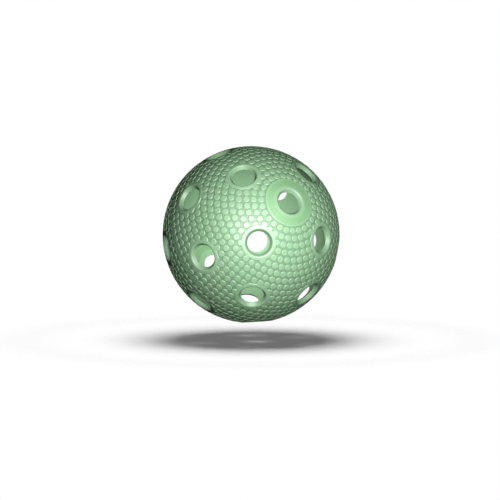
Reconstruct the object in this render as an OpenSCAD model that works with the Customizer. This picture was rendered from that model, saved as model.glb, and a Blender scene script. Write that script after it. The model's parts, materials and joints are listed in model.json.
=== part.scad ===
// A hollow floorball ball: two moulded half shells with round holes, joined by a weld round the middle.
// The origin is the centre of the ball and +Z runs along the axis through the two pole holes.

/* [Ball] */
// Diameter of the finished ball
ball_d = 72; // [60:0.5:90]
// Thickness of the moulded wall
wall = 1.8; // [1.2:0.1:2.6]

/* [Holes] */
// Diameter of every hole at its narrowest, near the inside
hole_d = 9.2; // [8:0.1:10]
// Height of the straight part of a hole's wall
land = 0.3; // [0.2:0.05:0.6]
// Angle by which the rest of the wall leans outwards
flare = 36; // [20:1:40]
// Angle between the pole and the ring of four holes
four_angle = 35.7; // [34:0.1:38]
// Angle between the pole and the ring of eight holes
eight_angle = 71.6; // [70:0.1:73]
// Rounding of a hole's edge on the outside
outer_round = 0.8; // [0.4:0.05:0.9]
// Rounding of a hole's edge on the inside
inner_round = 0.1; // [0.05:0.05:0.3]

/* [Label pad] */
// Outer diameter of the smooth collar round each pole hole
collar_d = 14; // [13:0.1:15]
// Outer diameter of the sunk ring where a label would go
field_d = 19.4; // [18:0.1:20]
// Depth of the sunk ring
field_depth = 0.12; // [0.05:0.01:0.3]

/* [Weld] */
// Width of the weld band at the surface
weld_w = 1.8; // [1:0.1:2.4]
// Height of the squeezed-out bead on the inside
bead_h = 0.5; // [0.3:0.05:0.8]

/* [Halves] */
// Turn of the lower half against the upper half
half_turn = 67.5; // [0:0.5:90]

/* [Hidden] */
$fn = 96;

// The ring of four starts on the front, at -Y
front = -90;
four_count = 4;
eight_count = 8;

ball_r = ball_d / 2;
bore_r = ball_r - wall;
hole_r = hole_d / 2;
weld_half = weld_w / 2;
overrun = 1; // how far every cutter runs past the material it cuts

// A hole's rounded edges meet the spheres at this angle, which leaves a soft line there
soft_angle = 20;
outer_far = sqrt(pow(ball_r, 2) + pow(outer_round, 2) - 2 * ball_r * outer_round * cos(soft_angle));
inner_far = sqrt(pow(bore_r, 2) + pow(inner_round, 2) + 2 * bore_r * inner_round * cos(soft_angle));
inner_x = hole_r + inner_round;
inner_z = sqrt(pow(inner_far, 2) - pow(inner_x, 2));
land_z = inner_z + land;

// The leaning wall runs into the outer round, whose centre is worked out in axes turned by the flare
turned_x = outer_round + hole_r * cos(flare) - land_z * sin(flare);
turned_z = sqrt(pow(outer_far, 2) - pow(turned_x, 2));
outer_x = turned_x * cos(flare) + turned_z * sin(flare);
outer_z = turned_z * cos(flare) - turned_x * sin(flare);
lip_x = outer_x - outer_round * cos(flare);
lip_z = outer_z + outer_round * sin(flare);

// The bead's arc ends on the inner edges of the two halves
bead_r = (pow(weld_half, 2) + pow(bead_h, 2)) / (2 * bead_h);
weld_bore_r = sqrt(pow(bore_r, 2) - pow(weld_half, 2));
bead_x = weld_bore_r + bead_r - bead_h;

// Moves a child drawn on the +Z axis to the place angle degrees from the pole
module place(angle, azimuth) {
    rotate([0, 0, azimuth])
        rotate([0, angle, 0])
            children();
}

// Profile of one hole: a short straight wall, a leaning one above it, and a rounded mouth at each end
module hole_profile() {
    polygon([[0, inner_z], [hole_r, inner_z], [hole_r, land_z], [lip_x, lip_z], [0, lip_z]]);
    mouth(outer_x, outer_z, lip_z, outer_round, ball_r + overrun);
    mouth(inner_x, inner_z, inner_z, inner_round, bore_r - overrun);
}

// The mouth starts at height base, opens round a circle of radius r about (x, z) and ends at reach
module mouth(x, z, base, r, reach) {
    spread = reach / norm([x, z]);
    difference() {
        polygon([[0, base], [x, base], [x, z] * spread, [0, z * spread]]);
        translate([x, z])
            circle(r);
    }
}

module hole() {
    rotate_extrude()
        hole_profile();
}

// The thirteen holes of one half
module half_holes() {
    hole();
    for (i = [0 : four_count - 1])
        place(four_angle, front + i * 360 / four_count)
            hole();
    for (i = [0 : eight_count - 1])
        place(eight_angle, front + (i + 0.5) * 360 / eight_count)
            hole();
}

// The shallow ring round the pole hole, between its collar and the first discs
module label_field() {
    difference() {
        cylinder(d = field_d, h = ball_r + overrun);
        cylinder(d = collar_d, h = ball_r + overrun);
        sphere(ball_r - field_depth);
    }
}

module half_shell() {
    difference() {
        sphere(ball_r);
        sphere(bore_r);
        translate([-ball_r - overrun, -ball_r - overrun, -ball_r - overrun])
            cube([ball_d + 2 * overrun, ball_d + 2 * overrun, ball_r + overrun + weld_half]);
        half_holes();
        label_field();
    }
}

module top_half() {
    color([0.56, 0.78, 0.57])
        half_shell();
}

// The same moulding as the top half, turned over
module bottom_half() {
    color([0.52, 0.74, 0.53])
        rotate([0, 0, half_turn])
            mirror([0, 0, 1])
                half_shell();
}

// The melted ring between the halves: flush outside, with a low round bead inside
module weld_bead() {
    color([0.42, 0.62, 0.45])
        rotate_extrude()
            intersection() {
                union() {
                    difference() {
                        circle(ball_r);
                        circle(bore_r);
                    }
                    translate([bead_x, 0])
                        circle(bead_r);
                }
                translate([weld_bore_r - bead_h - overrun, -weld_half])
                    square([wall + bead_h + 2 * overrun, weld_w]);
            }
}

top_half();
bottom_half();
weld_bead();
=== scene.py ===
import json
import math
import random

import bmesh
import bpy
from mathutils import Matrix, Vector
from mathutils.geometry import delaunay_2d_cdt


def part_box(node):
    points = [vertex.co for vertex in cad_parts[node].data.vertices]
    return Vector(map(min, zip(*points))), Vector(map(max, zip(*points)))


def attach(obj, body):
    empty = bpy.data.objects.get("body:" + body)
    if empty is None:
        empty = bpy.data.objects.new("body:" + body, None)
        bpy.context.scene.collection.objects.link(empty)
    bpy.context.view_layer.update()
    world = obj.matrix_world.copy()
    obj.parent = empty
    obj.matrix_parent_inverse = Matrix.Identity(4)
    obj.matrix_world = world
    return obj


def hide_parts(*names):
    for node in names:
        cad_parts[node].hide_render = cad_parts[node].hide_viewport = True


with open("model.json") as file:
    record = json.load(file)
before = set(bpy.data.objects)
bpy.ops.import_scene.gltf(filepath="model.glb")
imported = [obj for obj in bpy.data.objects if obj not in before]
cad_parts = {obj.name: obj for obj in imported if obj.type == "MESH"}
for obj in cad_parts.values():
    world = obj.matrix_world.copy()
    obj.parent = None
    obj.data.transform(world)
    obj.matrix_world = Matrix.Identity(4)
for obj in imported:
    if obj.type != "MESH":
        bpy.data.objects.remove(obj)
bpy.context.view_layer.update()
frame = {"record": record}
mm = 0.001
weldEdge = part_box("top_half")[0].z  # height at which the upper half ends and the weld begins

# The moulding, which is the same for both halves. Angles are measured from the pole in degrees.
shell = dict(
    radius=36 * mm,  # over the tops of the discs
    wall=1.8 * mm,
    holeRadius=frame["record"]["mounts"][0]["dims"]["r_mm"] * mm,
    ringOfFour=35.7,
    ringOfEight=71.6,
    front=-90.0,  # azimuth of the first hole in the ring of four
    flare=32.0,  # the hole's wall leans outwards by this angle above its straight land
    land=0.05 * mm,  # height of the straight part, from the inside
    landRing=0.2,  # share of the land, from above, at which it has a ring of points
    coneRings=(0.5, 0.85),  # the same for the leaning wall
    rimRound=0.8 * mm,
    rimSteps=6,
    rimTries=40,  # rounds in which the rim's place settles
    innerRound=0.1 * mm,
    innerSteps=3,
    innerSpacing=2.2 * mm,  # of the points on the plain inside
    wallShade=0.9,  # how far a hole's wall is painted with the grooves' darker shade colour
    holeSides=72,
    seamSides=360,
    lowerTurn=67.5,  # the lower half is welded on at this turn
)

# Round discs in rows of latitude, and the smooth places between them. Radii run along the surface.
relief = dict(
    depth=0.28 * mm,  # from the top of a disc down to the grooves
    rowPitch=4.905,
    firstRow=4,
    lastRow=18,
    spacing=2.95 * mm,  # of the discs in a row
    spacingLow=3.06 * mm,  # the same near the weld
    spacingFrom=60.0,
    spacingTo=75.0,
    discTop=0.95 * mm,
    discFoot=1.45 * mm,
    discSides=20,
    shoulderSteps=(0.0, 0.5, 0.8, 1.0),
    bandTop=6.95 * mm,  # smooth raised band round each hole
    bandFoot=7.25 * mm,
    mergeFrom=5.9 * mm,  # a disc nearer than this to a hole's axis is lost in the band
)

# The sunk ring for a label round each pole hole, with its raised lip
labelPad = dict(
    fieldDepth=0.05 * mm,
    fieldEnd=9.85 * mm,
    lipStart=10.1 * mm,
    lipEnd=10.5 * mm,
    lipFoot=10.85 * mm,
    sides=120,
)

# How the mesh's points and faces are told apart. Heights run from 0 in a groove to 1 on a disc.
limits = dict(
    even=0.01,  # a point this near to either height is on a smooth part of the sphere
    slope=0.02,  # a face that spans more than this is part of a wall
    given=0.5,  # a facing longer than this was given, and any other is empty
    levelFacing=0.99,  # a face that looks up or down more than this, and is
    levelReach=0.01 * mm,  # nearer than this to the weld's height, is one of the flat ones at the weld
    samePoint=0.001 * mm,
    onAxis=1e-6,  # a direction with less than this across the axis lies on it
    unrolled=1e-9,  # points of an unrolled sheet that are nearer than this are one
)


def onSphere(angle, azimuth):
    a, z = math.radians(angle), math.radians(azimuth)
    return Vector((math.sin(a) * math.cos(z), math.sin(a) * math.sin(z), math.cos(a)))


# The sphere is unrolled through the far pole, which keeps circles round
def toPlane(d):
    return Vector((d.x, d.y)) / (1 + d.z)


def fromPlane(p):
    s = p.length_squared
    return Vector((2 * p.x, 2 * p.y, 1 - s)) / (1 + s)


def ringOn(centre, arc, sides):
    side = Vector((0, 0, 1)).cross(centre)
    side = side.normalized() if side.length > limits["onAxis"] else Vector((1, 0, 0))
    across = centre.cross(side)
    out = []
    for i in range(sides):
        t = 2 * math.pi * i / sides
        out.append(centre * math.cos(arc) + (side * math.cos(t) + across * math.sin(t)) * math.sin(arc))
    return out


def halfHoles():
    front = shell["front"]
    holes = [Vector((0, 0, 1))]
    holes += [onSphere(shell["ringOfFour"], front + 90 * i) for i in range(4)]
    holes += [onSphere(shell["ringOfEight"], front + 45 * (i + 0.5)) for i in range(8)]
    return holes


def discRows():
    rows = {}
    r = relief
    for k in range(r["firstRow"], r["lastRow"] + 1):
        angle = r["rowPitch"] * k
        share = (angle - r["spacingFrom"]) / (r["spacingTo"] - r["spacingFrom"])
        spacing = r["spacing"] + (r["spacingLow"] - r["spacing"]) * min(max(share, 0), 1)
        count = 2 * round(math.pi * shell["radius"] * math.sin(math.radians(angle)) / spacing)
        rows[k] = [onSphere(angle, shell["front"] + 360 * j / count) for j in range(count)]
    return rows


holes = halfHoles()
rows = discRows()
discSpan = relief["discFoot"] - relief["discTop"]
discReaches = [relief["discTop"] + discSpan * t for t in relief["shoulderSteps"]]


def arcTo(a, b):
    return shell["radius"] * a.angle(b, 0.0)


def toNearestHole(d):
    return min(arcTo(d, hole) for hole in holes)


# 1 on a disc's flat top, falling over its rounded shoulder and steep wall to 0 in the groove
def shoulder(distance, top, foot):
    share = min(max((distance - top) / (foot - top), 0), 1)
    return math.sqrt(1 - share**2)


def padHeight(fromPole):
    pad = labelPad
    if fromPole >= pad["lipFoot"]:
        return 0.0
    if fromPole >= pad["lipEnd"]:
        return shoulder(fromPole, pad["lipEnd"], pad["lipFoot"])
    field = 1 - pad["fieldDepth"] / relief["depth"]
    return field + (1 - field) * shoulder(pad["lipStart"] - fromPole, 0.0, pad["lipStart"] - pad["fieldEnd"])


# Height of the relief in direction d, from 0 in a groove to 1 on a disc
def reliefAt(d):
    r = relief
    fromPole = shell["radius"] * math.acos(min(max(d.z, -1), 1))
    best = padHeight(fromPole)
    rowAbove = math.floor(math.degrees(fromPole / shell["radius"]) / r["rowPitch"])
    for k in (rowAbove, rowAbove + 1):
        if k in rows:
            count = len(rows[k])
            j = round((math.degrees(math.atan2(d.y, d.x)) - shell["front"]) * count / 360) % count
            centre = rows[k][j]
            if toNearestHole(centre) > r["mergeFrom"]:
                best = max(best, shoulder(arcTo(d, centre), r["discTop"], r["discFoot"]))
    return max(best, shoulder(toNearestHole(d), r["bandTop"], r["bandFoot"]))


# Outlines on the sphere, triangulated together. Areas with a name can be kept or dropped afterwards.
class Sheet:
    def __init__(self):
        self.points, self.edges, self.areas, self.names = [], [], [], []

    def loop(self, directions, name=None, live=None):
        first = len(self.points)
        count = len(directions)
        self.points += [toPlane(d) for d in directions]
        if name:
            self.areas.append([first + i for i in range(count)])
            self.names.append(name)
            return
        for i in range(count):
            j = (i + 1) % count
            if live is None or live[i] or live[j]:
                self.edges.append((first + i, first + j))

    def spot(self, direction):
        self.points.append(toPlane(direction))

    def cut(self, keep, drop):
        points, _, faces, _, _, areas = delaunay_2d_cdt(
            self.points, self.edges, self.areas, 0, limits["unrolled"])
        out = []
        for face, inside in zip(faces, areas):
            names = {self.names[i] for i in inside}
            if keep in names and not names & drop:
                out.append(list(face))
        return [fromPlane(p) for p in points], out


# The point at this radius and height, in the direction of d seen from above
def levelled(d, radius, level):
    flat = Vector((d.x, d.y)).normalized() * math.sqrt(radius**2 - level**2)
    return Vector((flat.x, flat.y, level))


# A mesh in the making: each point has its height in the relief and, where it is known, the way it faces. On
# a hole's wall the height holds painted shade instead.
class Skin:
    def __init__(self):
        self.verts, self.faces, self.heights, self.facing = [], [], [], []

    def point(self, place, height, facing):
        self.verts.append(place)
        self.heights.append(height)
        self.facing.append(facing)
        return len(self.verts) - 1

    # A point of the outside, on the relief and, at the weld, at the weld's height
    def lift(self, d, level=None):
        height = reliefAt(d)
        radius = shell["radius"] - relief["depth"] * (1 - height)
        place = d * radius if level is None else levelled(d, radius, level)
        smooth = min(height, 1 - height) < limits["even"]
        return self.point(place, height, d if smooth else Vector())

    # Faces between two closed rings of points
    def bridge(self, first, second):
        for i in range(len(first)):
            j = (i + 1) % len(first)
            self.faces.append([first[i], first[j], second[j], second[i]])

    # The same mesh turned over by a matrix that mirrors
    def mirrored(self, matrix):
        out = Skin()
        out.verts = [matrix @ v for v in self.verts]
        out.faces = [face[::-1] for face in self.faces]
        out.heights = self.heights
        out.facing = [matrix @ n for n in self.facing]
        return out


# A hole through the wall from outside to inside: distance from its axis, height along it, angle it faces
def holeProfile():
    s = shell
    lean = math.radians(s["flare"])
    bore = s["radius"] - s["wall"]
    lowX = s["holeRadius"] + s["innerRound"]
    lowZ = math.sqrt((bore + s["innerRound"]) ** 2 - lowX**2)
    landZ = math.sqrt(bore**2 - s["holeRadius"] ** 2) + s["land"]
    topX = s["holeRadius"] + s["rimRound"]
    for _ in range(s["rimTries"]):
        topZ = math.sqrt((s["radius"] - s["rimRound"]) ** 2 - topX**2)
        topX = s["holeRadius"] + (s["rimRound"] + math.sin(lean) * (topZ - landZ)) / math.cos(lean)
    out = []
    start, end = math.atan2(topZ, topX), math.pi - lean
    for i in range(s["rimSteps"] + 1):
        t = start + (end - start) * i / s["rimSteps"]
        out.append((topX + s["rimRound"] * math.cos(t), topZ + s["rimRound"] * math.sin(t), t))
    lastX, lastZ, _ = out[-1]
    for share in s["coneRings"]:
        out.append((lastX + (s["holeRadius"] - lastX) * share, lastZ + (landZ - lastZ) * share, end))
    out.append((s["holeRadius"], landZ, (end + math.pi) / 2))
    out.append((s["holeRadius"], landZ + (lowZ - landZ) * s["landRing"], math.pi))
    low = math.pi + math.atan2(lowZ, lowX)
    for i in range(s["innerSteps"] + 1):
        t = math.pi + (low - math.pi) * i / s["innerSteps"]
        out.append((lowX + s["innerRound"] * math.cos(t), lowZ + s["innerRound"] * math.sin(t), t))
    return out


# Radii with one put in halfway between each two
def halved(*radii):
    out = [radii[0]]
    for a, b in zip(radii, radii[1:]):
        out += [0.5 * (a + b), b]
    return out


# The outlines of the outside, and the centres of the whole discs, whose places stay open in it. Discs that
# run into a band or the weld are cut with the sheet.
def outerSheet(mouth, seamAngle):
    s, r, pad = shell, relief, labelPad
    sheet = Sheet()
    sheet.loop([onSphere(seamAngle, 360 * i / s["seamSides"]) for i in range(s["seamSides"])], "half")
    for hole in holes:
        sheet.loop(ringOn(hole, math.atan2(*mouth), s["holeSides"]), "hole")
        for reach in halved(mouth[0], r["bandTop"], r["bandFoot"])[1:]:
            sheet.loop(ringOn(hole, reach / s["radius"], s["holeSides"]))
    padRings = halved(r["bandFoot"], pad["fieldEnd"], pad["lipStart"])[1:]
    padRings += halved(pad["lipEnd"], pad["lipFoot"])
    for reach in padRings:
        sheet.loop(ringOn(holes[0], reach / s["radius"], pad["sides"]))
    whole = []
    for k, row in rows.items():
        toWeld = s["radius"] * math.radians(seamAngle - r["rowPitch"] * k)
        for centre in row:
            gap = toNearestHole(centre)
            if gap < r["mergeFrom"] or toWeld < -r["discTop"]:
                continue
            if gap > r["bandFoot"] + r["discFoot"] and toWeld > r["discFoot"]:
                whole.append(centre)
                sheet.loop(ringOn(centre, r["discFoot"] / s["radius"], r["discSides"]), "disc")
                continue
            for reach in discReaches:
                ring = ringOn(centre, reach / s["radius"], r["discSides"])
                live = [d.z * s["radius"] > weldEdge and toNearestHole(d) > r["bandTop"] for d in ring]
                if any(live):
                    sheet.loop(ring, live=live)
    return sheet, whole


# Points on edges that have one face only
def borderOf(faces):
    once = set()
    for face in faces:
        for a, b in zip(face, face[1:] + face[:1]):
            once ^= {(min(a, b), max(a, b))}
    return {i for pair in once for i in pair}


# Adds the triangulated outside and gives back its points along the weld
def addOutside(skin, sheet):
    spots, triangles = sheet.cut("half", {"hole", "disc"})
    near = (weldEdge + relief["depth"]) / shell["radius"]
    seam = {i for i in borderOf(triangles) if spots[i].z < near}
    index = {}
    for face in triangles:
        for i in face:
            if i not in index:
                index[i] = skin.lift(spots[i], weldEdge if i in seam else None)
        skin.faces.append([index[i] for i in face])
    print("sheet between the discs:", len(index), "points")
    return [index[i] for i in seam]


def addDisc(skin, centre):
    rings = []
    for reach in reversed(discReaches):
        rings.append([skin.lift(d) for d in ringOn(centre, reach / shell["radius"], relief["discSides"])])
    for below, above in zip(rings, rings[1:]):
        skin.bridge(below, above)
    middle = skin.lift(centre)
    top = rings[-1]
    for i in range(len(top)):
        skin.faces.append([top[i], top[(i + 1) % len(top)], middle])


def addHoleWall(skin, hole, profile):
    rings = []
    for x, z, t in profile:
        # Painted shade: this is no real height, it darkens the wall's colour the more the wall faces the
        # hole's axis
        height = 1 - shell["wallShade"] * max(-math.cos(t), 0)
        ring = []
        for d in ringOn(hole, math.atan2(x, z), shell["holeSides"]):
            facing = (d - hole * d.dot(hole)).normalized() * math.cos(t) + hole * math.sin(t)
            ring.append(skin.point(d * math.hypot(x, z), height, facing))
        rings.append(ring)
    for above, below in zip(rings, rings[1:]):
        skin.bridge(above, below)


# The plain inside, whose edge at the weld repeats the points of the outer edge
def addInside(skin, edge, mouth):
    s = shell
    bore = s["radius"] - s["wall"]
    seamAngle = math.degrees(math.acos(weldEdge / bore))
    sheet = Sheet()
    around = [math.degrees(math.atan2(skin.verts[i].y, skin.verts[i].x)) for i in edge]
    sheet.loop([onSphere(seamAngle, azimuth) for azimuth in around], "half")
    for hole in holes:
        sheet.loop(ringOn(hole, math.atan2(*mouth), s["holeSides"]), "hole")
    step = s["innerSpacing"]
    for k in range(1, math.floor(math.radians(seamAngle) * bore / step)):
        angle = math.degrees(k * step / bore)
        count = round(2 * math.pi * bore * math.sin(math.radians(angle)) / step)
        for j in range(count):
            d = onSphere(angle, 360 * (j + 0.5 * (k % 2)) / count)
            if toNearestHole(d) > s["holeRadius"] + step / 2:
                sheet.spot(d)
    spots, triangles = sheet.cut("half", {"hole"})
    placed = [skin.point(d * bore, 1.0, -d) for d in spots]
    skin.faces += [[placed[i] for i in reversed(face)] for face in triangles]
    rim = []
    for i in edge:
        place = levelled(skin.verts[i], bore, weldEdge)
        rim.append(skin.point(place, 1.0, -place.normalized()))
    skin.bridge(rim, edge)


def halfShell():
    skin = Skin()
    profile = holeProfile()
    seamAngle = math.degrees(math.acos(weldEdge / shell["radius"]))
    sheet, whole = outerSheet(profile[0][:2], seamAngle)
    edge = addOutside(skin, sheet)
    for centre in whole:
        addDisc(skin, centre)
    print("whole discs on a half:", len(whole))
    for hole in holes:
        addHoleWall(skin, hole, profile)
    edge.sort(key=lambda i: math.atan2(skin.verts[i].y, skin.verts[i].x))
    addInside(skin, edge, profile[-1][:2])
    return skin


# Shading normals: those given, else the mean of the faces around. A disc's wall meets the groove in a crisp
# edge, and the flat faces at the weld keep theirs.
def shade(mesh):
    facing = [Vector(item.vector) for item in mesh.attributes["facing"].data]
    height = [item.value for item in mesh.attributes["relief"].data]
    mean = [Vector() for _ in facing]
    wall = [Vector() for _ in facing]
    kinds = []
    for face in mesh.polygons:
        heights = [height[i] for i in face.vertices]
        upright = abs(face.normal.z) > limits["levelFacing"]
        level = upright and abs(abs(face.center.z) - weldEdge) < limits["levelReach"]
        rising = max(heights) - min(heights) > limits["slope"]
        kinds.append((level, rising))
        weighted = face.normal * face.area
        for i in face.vertices:
            if not level:
                mean[i] += weighted
            if rising:
                wall[i] += weighted
    normals = [n if n.length > limits["given"] else m.normalized() for n, m in zip(facing, mean)]
    loops = []
    for face, (level, rising) in zip(mesh.polygons, kinds):
        for i in face.vertices:
            if level:
                loops.append(face.normal)
            elif rising and height[i] < limits["slope"]:
                loops.append(wall[i].normalized())
            else:
                loops.append(normals[i])
    mesh.normals_split_custom_set(loops)
    mesh.attributes.remove(mesh.attributes["facing"])


def addPiece(name, skin):
    mesh = bpy.data.meshes.new(name)
    bm = bmesh.new()
    heightLayer = bm.verts.layers.float.new("relief")
    facingLayer = bm.verts.layers.float_vector.new("facing")
    made = []
    for place, height, facing in zip(skin.verts, skin.heights, skin.facing):
        v = bm.verts.new(place)
        v[heightLayer] = height
        v[facingLayer] = facing
        made.append(v)
    for face in skin.faces:
        bm.faces.new([made[i] for i in face])
    bmesh.ops.remove_doubles(bm, verts=bm.verts, dist=limits["samePoint"])
    bmesh.ops.delete(bm, geom=[v for v in bm.verts if not v.link_faces], context="VERTS")
    bmesh.ops.recalc_face_normals(bm, faces=bm.faces)
    loose = sum(1 for e in bm.edges if not e.is_manifold)
    for f in bm.faces:
        f.smooth = True
    bm.to_mesh(mesh)
    bm.free()
    shade(mesh)
    piece = bpy.data.objects.new(name, mesh)
    bpy.context.scene.collection.objects.link(piece)
    print(name, "has", len(mesh.polygons), "faces,", loose, "open edges")
    return piece


upperSkin = halfShell()
turnOver = Matrix.Diagonal((1, 1, -1)) @ Matrix.Rotation(math.radians(shell["lowerTurn"]), 3, "Z")
topHalf = addPiece("topHalf", upperSkin)
bottomHalf = addPiece("bottomHalf", upperSkin.mirrored(turnOver))
print("half shells made")

# The melted ring between the halves: flush outside with a hair of rounding, a soft bead inside
weld = dict(
    sides=1184,
    rowsAcross=12,
    edgeRound=0.03 * mm,
    edgeFrom=0.99,  # share of the half width beyond which the rounding begins
    beadHeight=0.5 * mm,
    beadSteps=8,
    beadWander=0.08 * mm,
    waves=9,
    wavesRound=(3, 40),  # fewest and most times that a wave goes up and down on its way round
    waveSizes=(0.2, 1),
    seed=11,
)


def beadHeights():
    random.seed(weld["seed"])
    waves = []
    for _ in range(weld["waves"]):
        turns = random.randint(*weld["wavesRound"])
        phase = random.uniform(0, 2 * math.pi)
        waves.append((turns, phase, random.uniform(*weld["waveSizes"])))
    out = []
    for i in range(weld["sides"]):
        t = 2 * math.pi * i / weld["sides"]
        wander = sum(size * math.sin(turns * t + phase) for turns, phase, size in waves) / len(waves)
        out.append(weld["beadHeight"] + weld["beadWander"] * wander)
    return out


def weldRing():
    s, w = shell, weld
    inside = math.sqrt((s["radius"] - s["wall"]) ** 2 - weldEdge**2)
    lowerTurn = Matrix.Rotation(math.radians(-s["lowerTurn"]), 3, "Z")
    skin = Skin()
    rings = []
    for i, bead in enumerate(beadHeights()):
        t = 2 * math.pi * i / w["sides"]
        profile = []
        for k in range(w["rowsAcross"] + 1):
            z = weldEdge * (2 * k / w["rowsAcross"] - 1)
            out = math.sqrt(s["radius"] ** 2 - z**2)
            d = Vector((out * math.cos(t), out * math.sin(t), z)) / s["radius"]
            height = max(reliefAt(d), reliefAt(lowerTurn @ Vector((d.x, d.y, -d.z))))
            rounded = w["edgeRound"] if abs(z) > weldEdge * w["edgeFrom"] else 0
            sunk = relief["depth"] * (1 - height) + rounded
            profile.append((math.sqrt((s["radius"] - sunk) ** 2 - z**2), z, height))
        for k in range(w["beadSteps"] + 1):
            a = math.pi * k / w["beadSteps"]
            profile.append((inside - bead * math.sin(a), weldEdge * math.cos(a), 1.0))
        rings.append([skin.point(Vector((x * math.cos(t), x * math.sin(t), z)), height, Vector())
                      for x, z, height in profile])
    for here, there in zip(rings, rings[1:] + rings[:1]):
        for k in range(len(here)):
            m = (k + 1) % len(here)
            skin.faces.append([here[k], there[k], there[m], here[m]])
    return skin


weldBead = addPiece("weldBead", weldRing())
print("weld made")


# Shader maths: a socket that can be added, multiplied and so on, with numbers or other sockets
class Flow:
    def __init__(self, shop, socket):
        self.shop, self.socket = shop, socket

    def maths(self, operation, *values):
        return self.shop.node("ShaderNodeMath", {"operation": operation}, dict(enumerate(values)))

    def __add__(self, other):
        return self.maths("ADD", self, other)

    def __radd__(self, other):
        return self.maths("ADD", other, self)

    def __sub__(self, other):
        return self.maths("SUBTRACT", self, other)

    def __rsub__(self, other):
        return self.maths("SUBTRACT", other, self)

    def __mul__(self, other):
        return self.maths("MULTIPLY", self, other)

    def __rmul__(self, other):
        return self.maths("MULTIPLY", other, self)

    # Another output of the same node
    def beside(self, output):
        return Flow(self.shop, self.socket.node.outputs[output])

    # 0 below low and 1 above high, with a soft step between
    def ramp(self, low, high):
        return self.shop.node("ShaderNodeMapRange", {"interpolation_type": "SMOOTHSTEP"},
                              {"Value": self, "From Min": low, "From Max": high})


# The nodes of a material or a world
class Shop:
    def __init__(self, owner):
        self.owner = owner
        owner.use_nodes = True
        self.tree = owner.node_tree
        self.tree.nodes.clear()

    def fill(self, socket, value):
        if isinstance(value, Flow):
            self.tree.links.new(value.socket, socket)
        else:
            socket.default_value = value

    def node(self, kind, settings=None, inputs=None, output=0):
        made = self.tree.nodes.new(kind)
        for key, value in (settings or {}).items():
            setattr(made, key, value)
        for key, value in (inputs or {}).items():
            self.fill(made.inputs[key], value)
        return Flow(self, made.outputs[output] if made.outputs else None)

    # The node takes its colours as inputs 6 and 7 and gives its colour as output 2
    def mix(self, share, a, b):
        first = a if isinstance(a, Flow) else (*a, 1)
        second = b if isinstance(b, Flow) else (*b, 1)
        return self.node("ShaderNodeMix", {"data_type": "RGBA"}, {0: share, 6: first, 7: second}, output=2)

    def length(self, vector):
        return self.node("ShaderNodeVectorMath", {"operation": "LENGTH"}, {0: vector}, output="Value")

    def noise(self, where, size, detail):
        return self.node("ShaderNodeTexNoise", inputs={"Vector": where, "Scale": 1 / size, "Detail": detail})

    def surface(self, shader, output="ShaderNodeOutputMaterial"):
        self.node(output, inputs={"Surface": shader})
        return self.owner


plastic = dict(
    pale=(0.43, 0.73, 0.43),
    deep=(0.36, 0.67, 0.37),
    deepShare=0.5,
    # painted shade: a darker green for the grooves, standing in for the shade that falls in them
    grooveShade=(0.16, 0.31, 0.17),
    grooveShadeShare=0.5,
    label=(0.33, 0.66, 0.31),
    labelShare=0.8,
    labelStart=(6.9 * mm, 7.2 * mm),  # from the axis
    labelEnd=(9.5 * mm, 9.8 * mm),
    # painted light: a lighter, greener copy of the plastic for the inside, so that it looks more brightly
    # lit
    inside=(0.43, 0.78, 0.43),
    litInsideEnd=(34.3 * mm, 34.7 * mm),  # from the ball's centre, where the painted lighter inside colour ends
    roughness=0.42,
    gloss=0.5,
    mottleSize=14 * mm,
    mottleEdges=(0.35, 0.7),
    mottleSmooth=0.03,
    speckSize=1.1 * mm,
    speckRough=0.12,
    grooveRough=0.12,
    grainSize=0.35 * mm,
    grainHeight=0.004 * mm,
    waveSize=5 * mm,
    waveHeight=0.02 * mm,
)


def mouldedPlastic(name, look, labelled):
    f = Shop(bpy.data.materials.new(name))
    where = f.node("ShaderNodeTexCoord", output="Object")
    mottle = f.noise(where, look["mottleSize"], 3).ramp(*look["mottleEdges"])
    speck = f.noise(where, look["speckSize"], 4)
    sunk = 1 - f.node("ShaderNodeAttribute", {"attribute_name": "relief"}, output="Fac")
    colour = f.mix(mottle * look["deepShare"], look["pale"], look["deep"])
    # Painted light: the inside takes the lighter copy of the green, so that it looks more brightly lit
    colour = f.mix(f.length(where).ramp(*look["litInsideEnd"]), look["inside"], colour)
    if labelled:
        x = f.node("ShaderNodeSeparateXYZ", inputs={0: where})
        y = x.beside("Y")
        fromAxis = x.maths("SQRT", x * x + y * y)
        field = fromAxis.ramp(*look["labelStart"]) * (1 - fromAxis.ramp(*look["labelEnd"]))
        colour = f.mix(field * look["labelShare"], colour, look["label"])
    # Painted shade: the colour darkens towards the bottom of the grooves, and on the holes' walls through
    # the heights they are given
    colour = f.mix(sunk * sunk * sunk * sunk * look["grooveShadeShare"], colour, look["grooveShade"])
    rough = look["roughness"] + (speck - 0.5) * look["speckRough"]
    rough = rough + sunk * look["grooveRough"] - mottle * look["mottleSmooth"]
    grain = f.noise(where, look["grainSize"], 2) * look["grainHeight"]
    wave = f.noise(where, look["waveSize"], 1) * look["waveHeight"]
    bump = f.node("ShaderNodeBump", inputs={"Height": grain + wave, "Distance": 1.0, "Strength": 1.0})
    return f.surface(f.node("ShaderNodeBsdfPrincipled", inputs={
        "Base Color": colour, "Roughness": rough, "Normal": bump, "Specular IOR Level": look["gloss"]}))


weldLook = dict(plastic, pale=(0.40, 0.70, 0.41), deep=(0.34, 0.64, 0.35), roughness=0.36, waveSize=2 * mm)
topHalf.data.materials.append(mouldedPlastic("pale green plastic, upper", plastic, True))
bottomHalf.data.materials.append(mouldedPlastic("pale green plastic, lower", plastic, True))
weldBead.data.materials.append(mouldedPlastic("pale green plastic, melted", weldLook, False))
for piece, node, slot in ((topHalf, "top_half", "top_shell"), (bottomHalf, "bottom_half", "bottom_shell"),
                          (weldBead, "weld_bead", "weld")):
    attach(piece, "root")
    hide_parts(node)
print("finishes made")

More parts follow.
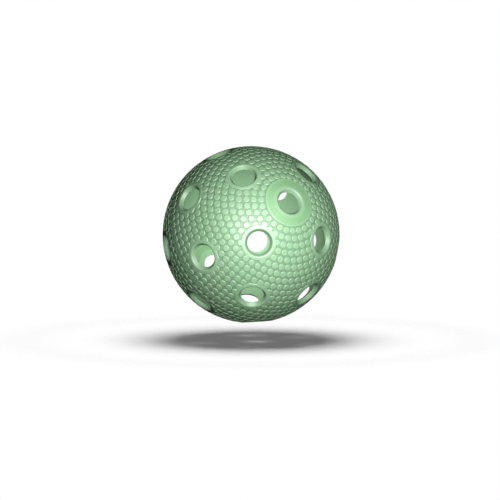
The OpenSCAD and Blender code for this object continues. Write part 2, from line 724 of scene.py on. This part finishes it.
# The camera, from the photograph: a ball 177 px wide, seen from so far away that the view is nearly parallel
photo = dict(
    side=500.0,
    ballCentre=(251.12, 234.58),
    ballWidth=176.96,
    right=Vector((0.7688, 0.4631, 0.4410)),
    up=Vector((-0.6263, 0.6845, 0.3731)),
    lens=515.0,
    sensor=36.0,
    clipStart=0.1,
    clipEnd=20.0,
)
right = photo["right"].normalized()
up = (photo["up"] - right * photo["up"].dot(right)).normalized()
back = right.cross(up)
pixel = 2 * shell["radius"] / photo["ballWidth"]
distance = pixel * photo["side"] * photo["lens"] / photo["sensor"]
middle = photo["side"] / 2
aim = right * (middle - photo["ballCentre"][0]) * pixel - up * (middle - photo["ballCentre"][1]) * pixel
cameraData = bpy.data.cameras.new("camera")
cameraData.lens = photo["lens"]
cameraData.sensor_width = photo["sensor"]
cameraData.clip_start = photo["clipStart"]
cameraData.clip_end = photo["clipEnd"]
camera = bpy.data.objects.new("camera", cameraData)
axes = Matrix((right, up, back)).transposed().to_4x4()
camera.matrix_world = Matrix.Translation(aim + back * distance) @ axes
bpy.context.scene.collection.objects.link(camera)
bpy.context.scene.camera = camera
print("camera", round(distance, 3), "m away")

# A near lamp beside the line of sight, a beam from farther off, one that keeps its place before the camera,
# one that only adds shine, and one for the floor. A level is the brightness that the lamp alone gives
# a white card facing it, at the front of the ball or on the floor.
lights = dict(
    keyDistance=180 * mm,
    keyAside=11.0,  # degrees off the line of sight
    keyTurned=21.0,  # turned this far up from the picture's right
    keySize=25 * mm,
    keyLevel=0.54,
    beamDistance=900 * mm,
    beamAside=8.5,
    beamTurned=23.0,
    beamEdge=1.35,  # the soft beam ends here, in radii of the ball
    beamLevel=0.82,
    headForward=1400 * mm,  # in front of the camera, which the other views bring nearer to the ball
    headReach=402 * mm,
    headSize=25 * mm,
    headLevel=0.65,
    shineDistance=180 * mm,
    shineAside=6.0,
    shineTurned=58.0,
    shineSize=120 * mm,
    shineLevel=3.6,
    floorLampHeight=160 * mm,
    floorLampSize=120 * mm,
    floorLampLevel=1.45,
)


def toward(aside, turned):
    a, t = math.radians(aside), math.radians(turned)
    return back * math.cos(a) + (right * math.cos(t) + up * math.sin(t)) * math.sin(a)


# Moved to a place, with its Z axis in this direction
def aimed(place, direction):
    return Matrix.Translation(place) @ direction.to_track_quat("Z", "Y").to_matrix().to_4x4()


def addLamp(name, kind):
    lamp = bpy.data.objects.new(name, bpy.data.lights.new(name, kind))
    bpy.context.scene.collection.objects.link(lamp)
    lamp.visible_camera = False
    return lamp


# A round lamp that looks from its place to a target, with its level given at this reach
def diskLamp(name, place, target, size, level, reach):
    lamp = addLamp(name, "AREA")
    lamp.data.shape = "DISK"
    lamp.data.size = size
    lamp.data.energy = level * math.pi**2 * (reach**2 + size**2 / 4)
    lamp.matrix_world = aimed(place, place - target)
    return lamp


# A small ball or a beam of light
def ballLamp(name, kind, size, level, reach):
    lamp = addLamp(name, kind)
    lamp.data.energy = level * 4 * math.pi**2 * reach**2
    lamp.data.shadow_soft_size = size
    lamp.visible_glossy = False
    return lamp


# Its light reaches the inside through the wall, as in the photograph, and isn't thrown on from there
def passThrough(lamp):
    lamp.data.use_shadow = False
    lamp.data.cycles.max_bounces = 0


li = lights
shinePlace = toward(li["shineAside"], li["shineTurned"]) * li["shineDistance"]
shineLamp = diskLamp("shineLamp", shinePlace, Vector(), li["shineSize"], li["shineLevel"],
                     li["shineDistance"] - shell["radius"])
shineLamp.visible_diffuse = False

keyLamp = ballLamp("keyLamp", "POINT", li["keySize"], li["keyLevel"], li["keyDistance"] - shell["radius"])
keyLamp.location = toward(li["keyAside"], li["keyTurned"]) * li["keyDistance"]

beamLamp = ballLamp("beamLamp", "SPOT", li["keySize"], li["beamLevel"], li["beamDistance"] - shell["radius"])
beamLamp.data.spot_size = 2 * math.atan(li["beamEdge"] * shell["radius"] / li["beamDistance"])
beamLamp.data.spot_blend = 1.0
beamPlace = toward(li["beamAside"], li["beamTurned"]) * li["beamDistance"]
beamLamp.matrix_world = aimed(beamPlace, beamPlace)

headLamp = ballLamp("headLamp", "POINT", li["headSize"], li["headLevel"], li["headReach"])
headLamp.parent = camera
headLamp.location = (0, 0, -li["headForward"])

stage = dict(
    drop=43.3 * mm,  # from the ball's centre down to the floor
    tilt=5.4,  # the line of sight looks down on the floor by this angle
    radius=120 * mm,
    fadeFrom=70 * mm,
    fadeTo=112 * mm,
    softWhite=0.16,  # share of the floor that is white by itself, so that the shadow isn't black
    albedo=0.2,
    sides=96,
)
tilt = math.radians(stage["tilt"])
floorUp = up * math.cos(tilt) + back * math.sin(tilt)
floorSpot = -floorUp * stage["drop"]
floorLamp = diskLamp("floorLamp", floorSpot + floorUp * li["floorLampHeight"], floorSpot,
                     li["floorLampSize"], li["floorLampLevel"] / stage["albedo"], li["floorLampHeight"])

floorMesh = bpy.data.meshes.new("floor")
bm = bmesh.new()
bmesh.ops.create_circle(bm, cap_ends=True, radius=stage["radius"], segments=stage["sides"])
bm.to_mesh(floorMesh)
bm.free()
floor = bpy.data.objects.new("floor", floorMesh)
floor.matrix_world = aimed(floorSpot, floorUp)
bpy.context.scene.collection.objects.link(floor)
floor.visible_diffuse = False
floor.visible_glossy = False


# Pale floor that fades into the white around it, clear from below so that it never hides the ball
def paleFloor():
    f = Shop(bpy.data.materials.new("pale floor"))
    away = f.length(f.node("ShaderNodeTexCoord", output="Object"))
    white = f.node("ShaderNodeEmission", inputs={"Color": (1, 1, 1, 1), "Strength": 1.0})
    grey = (stage["albedo"],) * 3
    matt = f.node("ShaderNodeBsdfDiffuse", inputs={"Color": (*grey, 1)})
    lit = f.node("ShaderNodeMixShader", inputs={0: stage["softWhite"], 1: matt, 2: white})
    clear = f.node("ShaderNodeBsdfTransparent")
    below = f.node("ShaderNodeNewGeometry", output="Backfacing")
    gone = below.maths("MAXIMUM", below, away.ramp(stage["fadeFrom"], stage["fadeTo"]))
    return f.surface(f.node("ShaderNodeMixShader", inputs={0: gone, 1: lit, 2: clear}))


# White where the camera looks past everything. The room gives the ball no light.
def paleRoom():
    f = Shop(bpy.data.worlds.new("pale room"))
    straight = f.node("ShaderNodeLightPath", output="Is Camera Ray")
    seen = straight.maths("MAXIMUM", straight, straight.beside("Is Transmission Ray"))
    background = f.node("ShaderNodeBackground", inputs={"Color": (1, 1, 1, 1), "Strength": seen})
    return f.surface(background, "ShaderNodeOutputWorld")


def lightOnly(lamp, name, things):
    group = bpy.data.collections.new(name)
    for thing in things:
        group.objects.link(thing)
    lamp.light_linking.receiver_collection = group


floorMesh.materials.append(paleFloor())
bpy.context.scene.world = paleRoom()
lightOnly(floorLamp, "floor lamp reaches", [floor])
for lamp in (keyLamp, beamLamp, shineLamp, headLamp):
    passThrough(lamp)
    lightOnly(lamp, lamp.name + " reaches", [topHalf, bottomHalf, weldBead])
bpy.context.scene.view_settings.view_transform = "Standard"
print("lights and floor made")
